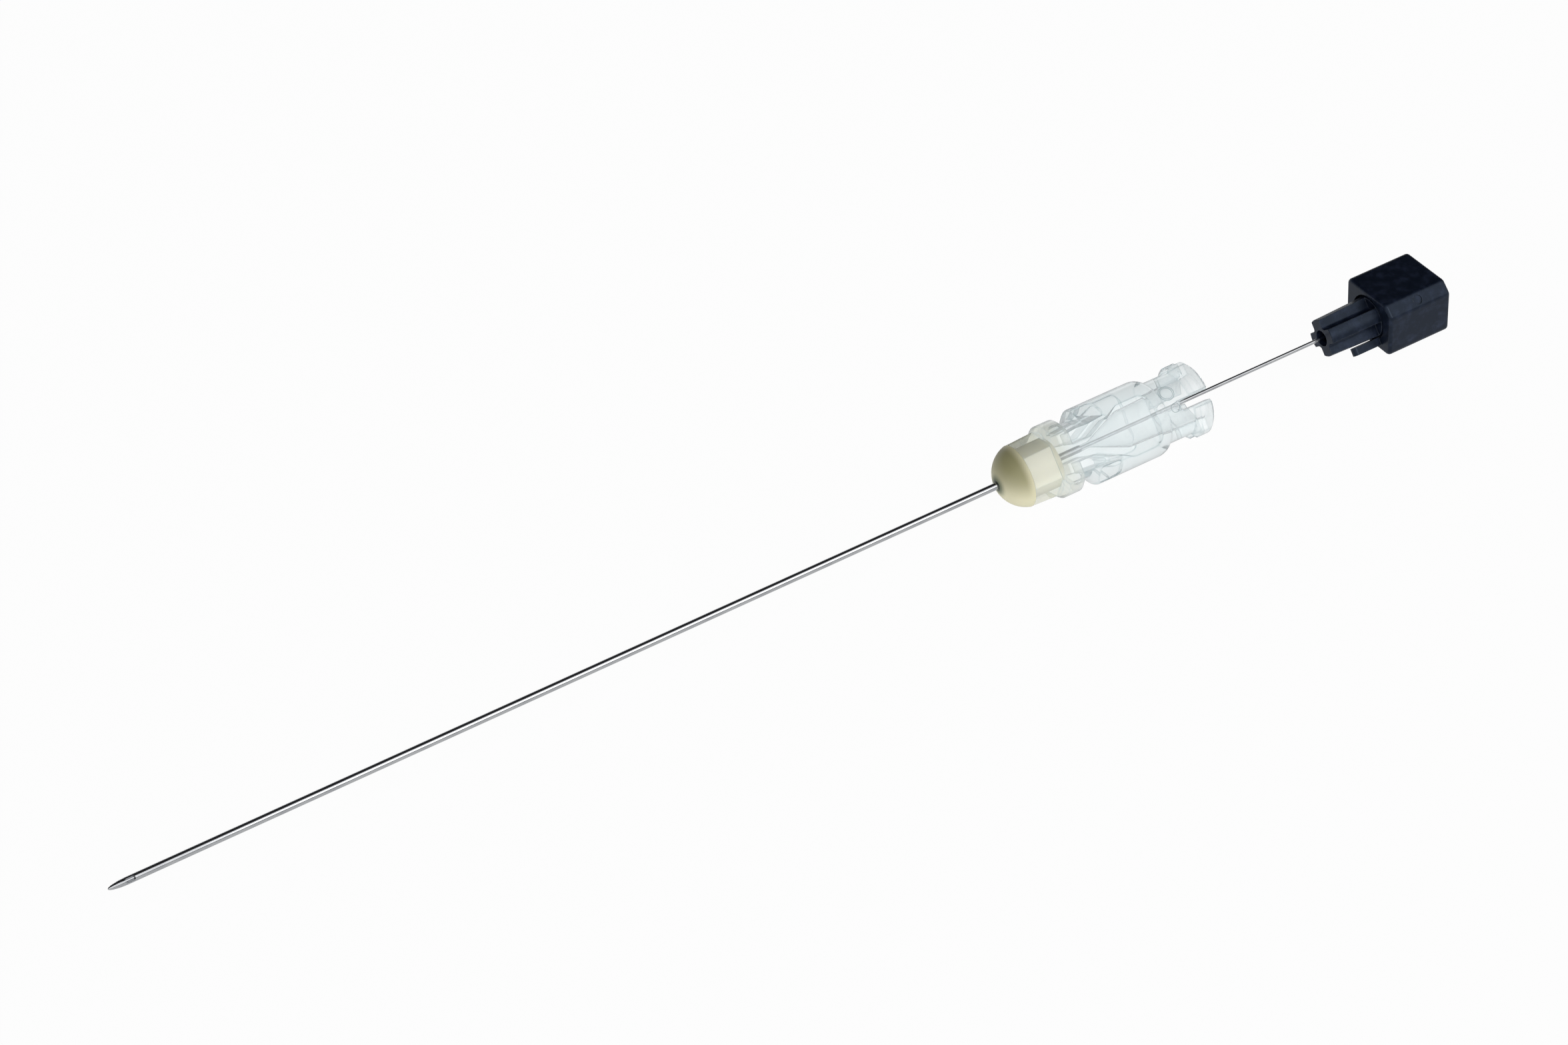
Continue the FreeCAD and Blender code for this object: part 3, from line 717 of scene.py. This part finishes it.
@dataclass(frozen=True)
class SetResin(Finish):
    """A dark glossy fillet of set resin, whose near black also paints the shade where the tube
    leaves the dome.
    """

    # Near black: the resin's colour, and also painted shade at the tube's exit.
    dark: Colour = (0.035, 0.04, 0.035)
    pale: Colour = (0.12, 0.14, 0.11)
    cloud_span: Range = (0.35, 0.7)
    edge_radius: float = 0.03 * MM
    grain_height: float = 0.01 * MM

    def surface(self, sheet: NodeSheet) -> bpy.types.NodeSocket:
        """Builds the resin.

        Args:
            sheet: the material's nodes.

        Returns:
            The shader's output.
        """
        place = sheet.object_place()
        grain = MouldGrain.place(sheet, place, Scale=9000.0, Roughness=0.22, Spread=0.08)
        paler = sheet.band(grain["Cloud"], *self.cloud_span)
        shader = sheet.add("ShaderNodeBsdfPrincipled", {
            "Base Color": sheet.blend(paler, self.dark, self.pale),
            "Roughness": grain["Roughness"],
            "IOR": PLASTIC_IOR,
            "Normal": self.soft_edges(sheet, self.edge_radius, grain["Height"], self.grain_height),
        })
        return shader.outputs[0]


@dataclass(frozen=True)
class DrawnSteel(Finish):
    """Bright stainless steel, drawn to size, with die lines along it."""

    bright: Colour = (0.8, 0.81, 0.82)
    dull: Colour = (0.66, 0.67, 0.69)
    speck: Colour = (0.3, 0.3, 0.3)
    speck_strength: float = 0.3
    band_span: Range = (0.35, 0.7)
    lines: float = 14000.0
    stretch: float = 0.012
    roughness: float = 0.11
    edge_radius: float = 0.02 * MM
    line_height: float = 0.0004 * MM

    def surface(self, sheet: NodeSheet) -> bpy.types.NodeSocket:
        """Builds the steel.

        Args:
            sheet: the material's nodes.

        Returns:
            The shader's output.
        """
        place = sheet.object_place()
        lines = DrawLines.place(
            sheet,
            place,
            Scale=self.lines,
            Stretch=self.stretch,
            Roughness=self.roughness,
            Spread=0.07,
        )
        dust = DustSpecks.place(sheet, place, Scale=2600.0, Size=0.05)
        tone = sheet.blend(sheet.band(lines["Tone"], *self.band_span), self.bright, self.dull)
        specks = sheet.math("MULTIPLY", dust["Mask"], self.speck_strength)
        tone = sheet.blend(specks, tone, self.speck)
        shader = sheet.add("ShaderNodeBsdfPrincipled", {
            "Base Color": tone,
            "Metallic": 1.0,
            "Roughness": lines["Roughness"],
            "Normal": self.soft_edges(sheet, self.edge_radius, lines["Height"], self.line_height),
        })
        return shader.outputs[0]


@dataclass(frozen=True)
class BlackPlastic(Finish):
    """Satin black plastic with a blue cast, faintly scuffed, with painted highlight and rubbed
    patches on its edges.
    """

    black: Colour = (0.004, 0.007, 0.016)
    scuff: Colour = (0.017, 0.024, 0.048)
    # A paler colour for rubbed wear, and for the painted highlight along every edge.
    rub_and_sheen: Colour = (0.12, 0.14, 0.16)
    speck: Colour = (0.16, 0.17, 0.19)
    speck_strength: float = 0.5
    cloud_span: Range = (0.42, 0.75)
    gloss_tint: Colour = (0.62, 0.77, 1.0)
    gloss_level: float = 0.45
    rub_reach: float = 0.12 * MM
    sheen_share: float = 0.3
    rub_and_sheen_strength: float = 0.6
    edge_radius: float = 0.1 * MM
    grain_height: float = 0.008 * MM

    def surface(self, sheet: NodeSheet) -> bpy.types.NodeSocket:
        """Builds the black plastic.

        Args:
            sheet: the material's nodes.

        Returns:
            The shader's output.
        """
        place = sheet.object_place()
        grain = MouldGrain.place(sheet, place, Scale=7000.0, Roughness=0.34, Spread=0.1)
        edges = EdgeShadingAndRub.place(sheet, place, Reach=self.rub_reach, Scale=2500.0)
        dust = DustSpecks.place(sheet, place, Scale=1400.0, Size=0.06)
        tone = sheet.blend(sheet.band(grain["Cloud"], *self.cloud_span), self.black, self.scuff)
        # Painted highlight: a paler line along every edge, besides the rubbed patches of wear.
        edge_sheen = sheet.math("MULTIPLY", edges["Edge"], self.sheen_share)
        worn_and_sheen = sheet.math("MAXIMUM", edge_sheen, edges["Rubbed"])
        tone = sheet.blend(sheet.math("MULTIPLY", worn_and_sheen, self.rub_and_sheen_strength), tone, self.rub_and_sheen)
        specks = sheet.math("MULTIPLY", dust["Mask"], self.speck_strength)
        tone = sheet.blend(specks, tone, self.speck)
        shader = sheet.add("ShaderNodeBsdfPrincipled", {
            "Base Color": tone,
            "Roughness": grain["Roughness"],
            "Specular IOR Level": self.gloss_level,
            "Specular Tint": opaque(self.gloss_tint),
            "IOR": PLASTIC_IOR,
            "Normal": self.soft_edges(sheet, self.edge_radius, grain["Height"], self.grain_height),
        })
        return shader.outputs[0]


@dataclass(frozen=True)
class PaleTable(Finish):
    """The plain white table, lit from within like a light table, that still takes a shadow."""

    white: Colour = (0.9, 0.9, 0.9)
    given: Colour = (0.92, 0.92, 0.92)
    reflected: Colour = (0.5, 0.505, 0.51)
    glow: float = 0.97

    def surface(self, sheet: NodeSheet) -> bpy.types.NodeSocket:
        """Builds the table's white.

        Args:
            sheet: the material's nodes.

        Returns:
            The shader's output.
        """
        matt = sheet.add("ShaderNodeBsdfDiffuse", {"Color": opaque(self.white)})
        glossy = sheet.add("ShaderNodeLightPath").outputs["Is Glossy Ray"]
        colour = sheet.blend(glossy, self.given, self.reflected)
        colour = sheet.blend(seen_straight(sheet), colour, WHITE)
        lit = sheet.add("ShaderNodeEmission", {"Color": colour, "Strength": 1.0})
        return sheet.mix_shaders(self.glow, matt.outputs[0], lit.outputs[0])


class FrameNode:
    """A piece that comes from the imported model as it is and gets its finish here."""

    def __init__(self, name: str) -> None:
        """Finds the piece.

        Args:
            name: the node's name.
        """
        self.name = name
        self.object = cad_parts[name]

    def dress(self, finish: Finish) -> None:
        """Gives the piece one finish all over.

        Args:
            finish: the finish.
        """
        for slot in self.object.material_slots:
            slot.material = finish.material()
        LOG.info("dressed %s in %s", self.name, finish.title)

    def wet(self, film: float) -> None:
        """Lets the piece's skin lie just inside the clear plastic round it, as a bonded one does.

        Args:
            film: how far the skin is moved out.
        """
        swell = self.object.modifiers.new("bonded_film", "DISPLACE")
        swell.strength = film
        swell.mid_level = 0.0

    def low(self) -> Vector:
        """The piece's lowest corner."""
        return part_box(self.name)[0]


def finished_piece(
    name: str, mesh: bmesh.types.BMesh, finish: Finish, body: Body
) -> None:
    """Turns a mesh into a piece of the object.

    Args:
        name: the piece's name.
        mesh: its mesh, which is used up.
        finish: its finish.
        body: the body that it moves with.
    """
    data = bpy.data.meshes.new(name)
    mesh.to_mesh(data)
    mesh.free()
    for face in data.polygons:
        face.use_smooth = True
    piece = bpy.data.objects.new(name, data)
    bpy.context.scene.collection.objects.link(piece)
    data.materials.append(finish.material())
    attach(piece, body.value)
    LOG.info("built %s with %d faces", name, len(data.polygons))


@dataclass
class MouldRing:
    """A raised ring that a mould leaves on a round wall, at an angle from +Y towards +Z."""

    name: str
    x: float
    angle: float
    radius: float
    width: float
    wall_radius: float
    height: float = 0.03 * MM
    steps: int = 48

    def build(self, finish: Finish) -> None:
        """Lays the ring on the wall, with its foot sunk a little into it.

        Args:
            finish: the finish of the wall.
        """
        mesh = bmesh.new()
        foot, crest, sunk = self.width / 2, self.width / 4, self.height / 3
        profile = [(-foot, -sunk), (-crest, self.height), (crest, self.height), (foot, -sunk)]
        rings = []
        for step in range(self.steps):
            turn = 2 * math.pi * step / self.steps
            rings.append([mesh.verts.new(self.on_wall(turn, out, up)) for out, up in profile])
        for step in range(self.steps):
            here, there = rings[step], rings[(step + 1) % self.steps]
            for side in range(len(profile) - 1):
                mesh.faces.new((here[side], there[side], there[side + 1], here[side + 1]))
            mesh.faces.new((here[-1], there[-1], there[0], here[0]))
        bmesh.ops.recalc_face_normals(mesh, faces=mesh.faces)
        finished_piece(self.name, mesh, finish, Body.NEEDLE)

    def on_wall(self, turn: float, out: float, up: float) -> Vector:
        """A point of the ring's profile.

        Args:
            turn: how far round the ring.
            out: how far outside the ring's radius.
            up: how far above the wall.

        Returns:
            The point.
        """
        reach = self.radius + out
        along = self.x + reach * math.cos(turn)
        angle = math.radians(self.angle) + reach * math.sin(turn) / self.wall_radius
        around = self.wall_radius + up
        return Vector((along, around * math.cos(angle), around * math.sin(angle)))


@dataclass
class Tube:
    """The steel tube and the wire inside it."""

    tube: FrameNode
    wire: FrameNode
    film: float = 0.004 * MM

    def dress(self) -> None:
        """Gives tube and wire their steel."""
        self.tube.dress(DrawnSteel("drawn_steel_tube"))
        self.tube.wet(self.film)
        self.wire.dress(DrawnSteel("drawn_steel_wire", lines=22000.0, roughness=0.13))


@dataclass
class Hub:
    """The clear hub, with the rings that its mould leaves on the barrel."""

    hub: FrameNode
    barrel_radius: float = 3.21 * MM
    ejector_x: float = -3.9 * MM
    ejector_angle: float = 117.5
    gate_x: float = -3.75 * MM
    gate_angle: float = 147.5
    # Painted shade: the rings take a darker tint than the hub, so that their outlines show.
    ring_shade_tint: Colour = (0.5, 0.58, 0.6)
    ring_shade_cloud: Colour = (0.45, 0.53, 0.55)

    def build(self) -> None:
        """Lays the mould's rings on the barrel, in a darker tint that paints the shade of their
        outlines.
        """
        finish = ClearPlastic("clear_plastic_rings_painted_shade", tint=self.ring_shade_tint, cloud=self.ring_shade_cloud)
        ejector = self.ejector_x, self.ejector_angle
        gate = self.gate_x, self.gate_angle
        wall = self.barrel_radius
        rings = (
            MouldRing("ejector_ring_outer", *ejector, 0.78 * MM, 0.07 * MM, wall),
            MouldRing("ejector_ring_inner", *ejector, 0.62 * MM, 0.05 * MM, wall),
            MouldRing("gate_ring", *gate, 0.45 * MM, 0.06 * MM, wall),
        )
        for ring in rings:
            ring.build(finish)

    def dress(self) -> None:
        """Gives the hub its clear plastic."""
        self.hub.dress(ClearPlastic("clear_plastic_hub"))


@dataclass
class Nose:
    """The cream insert and the resin where the tube leaves it."""

    insert: FrameNode
    bead: FrameNode
    film: float = 0.01 * MM

    def dress(self) -> None:
        """Gives the insert its cream and the bead its resin."""
        self.insert.dress(CreamPlastic("cream_plastic_insert", exit_x=self.insert.low().x))
        self.insert.wet(self.film)
        self.bead.dress(SetResin("set_resin_bead"))


@dataclass
class Cap:
    """The black cap of the stylet."""

    cap: FrameNode

    def dress(self) -> None:
        """Gives the cap its black plastic."""
        self.cap.dress(BlackPlastic("black_plastic_cap"))


@dataclass
class SoftLamp:
    """A soft square lamp that points at the object."""

    name: str
    azimuth: float
    elevation: float
    distance: float
    size: float
    power: float
    aim: tuple[float, float, float] = (-20.0 * MM, 0.0, 0.0)

    def build(self) -> None:
        """Hangs the lamp."""
        data = bpy.data.lights.new(self.name, "AREA")
        data.shape = "SQUARE"
        data.size = self.size
        data.energy = self.power
        lamp = bpy.data.objects.new(self.name, data)
        way = direction(self.azimuth, self.elevation)
        lamp.location = Vector(self.aim) + way * self.distance
        lamp.rotation_euler = way.to_track_quat("Z", "Y").to_euler()
        bpy.context.scene.collection.objects.link(lamp)
        LOG.info("hung %s", self.name)


@dataclass
class Studio:
    """The white table, the room's light and the soft lamp.

    The room's light goes by the rise of a direction, in degrees from the horizon in front over
    the top to the horizon behind.
    """

    floor_z: float
    reach: float = 1.6
    front: Colour = (0.9, 0.905, 0.915)
    dim: Colour = (0.02, 0.02, 0.022)
    wall: Colour = (0.85, 0.855, 0.86)
    front_start: Range = (6.0, 14.0)
    front_end: Range = (60.0, 78.0)
    wall_start: Range = (156.0, 172.0)

    def build(self) -> None:
        """Builds the table, the room's light and the lamp."""
        self.table()
        self.sky()
        lamp = SoftLamp(
            "key_softbox", azimuth=12.0, elevation=32.0, distance=0.5, size=0.2, power=0.35
        )
        lamp.build()

    def table(self) -> None:
        """Lays the table under the object."""
        mesh = bmesh.new()
        bmesh.ops.create_circle(mesh, cap_ends=True, segments=96, radius=self.reach)
        data = bpy.data.meshes.new("table")
        mesh.to_mesh(data)
        mesh.free()
        table = bpy.data.objects.new("table", data)
        table.location.z = self.floor_z
        bpy.context.scene.collection.objects.link(table)
        data.materials.append(PaleTable("pale_table").material())
        LOG.info("laid the table at %.4f", self.floor_z)

    def sky(self) -> None:
        """Makes a room with a soft light in front, a pale wall behind and dim above.

        Where the room itself is seen, it is white.
        """
        world = bpy.data.worlds.new("studio_sky")
        bpy.context.scene.world = world
        world.use_nodes = True
        world.node_tree.nodes.clear()
        sheet = NodeSheet(world.node_tree)
        way = sheet.parts(sheet.add("ShaderNodeTexCoord").outputs["Generated"])
        rise = sheet.math("ARCTAN2", way["Z"], sheet.math("MULTIPLY", way["Y"], -1.0))
        above = self.rise_band(sheet, rise, self.front_start, 0.0, 1.0)
        below = self.rise_band(sheet, rise, self.front_end, 1.0, 0.0)
        behind = self.rise_band(sheet, rise, self.wall_start, 0.0, 1.0)
        colour = sheet.blend(sheet.math("MULTIPLY", above, below), self.dim, self.front)
        colour = sheet.blend(behind, colour, self.wall)
        colour = sheet.blend(seen_straight(sheet), colour, WHITE)
        light = sheet.add("ShaderNodeBackground", {"Color": colour, "Strength": 1.0})
        output = sheet.add("ShaderNodeOutputWorld")
        sheet.feed(output.inputs["Surface"], light.outputs[0])
        LOG.info("lit the room")

    @staticmethod
    def rise_band(
        sheet: NodeSheet, rise: Source, span: Range, start: float, end: float
    ) -> bpy.types.NodeSocket:
        """Maps a direction's rise between two angles.

        Args:
            sheet: the room's nodes.
            rise: the rise in radians.
            span: the angles in degrees that give start and end.
            start: the first result.
            end: the last result.

        Returns:
            The mapped value.
        """
        return sheet.band(rise, math.radians(span[0]), math.radians(span[1]), start, end)


def direction(azimuth: float, elevation: float) -> Vector:
    """A unit vector towards a place round the object.

    Args:
        azimuth: degrees round from the front, which is -Y, towards +X.
        elevation: degrees above the table.

    Returns:
        The vector.
    """
    turn = math.radians(azimuth)
    rise = math.radians(elevation)
    flat = math.cos(rise)
    return Vector((math.sin(turn) * flat, -math.cos(turn) * flat, math.sin(rise)))


@dataclass
class PhotoCamera:
    """The camera at the photograph's viewing angle."""

    azimuth: float = -22.48
    elevation: float = 33.93
    roll: float = -11.07
    distance: float = 283.95 * MM
    aim: tuple[float, float, float] = (-43.49 * MM, 2.98 * MM, 4.08 * MM)
    lens: float = 70.41
    sensor_width: float = 36.0
    clip: Range = (0.01, 10.0)

    def build(self) -> None:
        """Makes the camera and hands it to the scene."""
        data = bpy.data.cameras.new("photo_camera")
        data.lens = self.lens
        data.sensor_width = self.sensor_width
        data.clip_start, data.clip_end = self.clip
        camera = bpy.data.objects.new("photo_camera", data)
        way = direction(self.azimuth, self.elevation)
        camera.location = Vector(self.aim) + way * self.distance
        upright = way.to_track_quat("Z", "Y")
        camera.rotation_mode = "QUATERNION"
        camera.rotation_quaternion = Quaternion(way, math.radians(self.roll)) @ upright
        bpy.context.scene.collection.objects.link(camera)
        bpy.context.scene.camera = camera
        LOG.info("set the camera %.0f mm off", self.distance / MM)


def main() -> None:
    """Builds the scene in order."""
    logging.basicConfig(level=logging.INFO, format="%(name)s: %(message)s")
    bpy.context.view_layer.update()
    bpy.context.scene.view_settings.view_transform = "Standard"
    PhotoCamera().build()
    hub = Hub(FrameNode("hub"))
    hub.build()
    hub.dress()
    Nose(FrameNode("nose_insert"), FrameNode("bond_bead")).dress()
    Tube(FrameNode("cannula"), FrameNode("stylet_wire")).dress()
    Cap(FrameNode("stylet_cap")).dress()
    floor_z = min(FrameNode(name).low().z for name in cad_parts)
    Studio(floor_z).build()


if __name__ == "__main__":
    main()
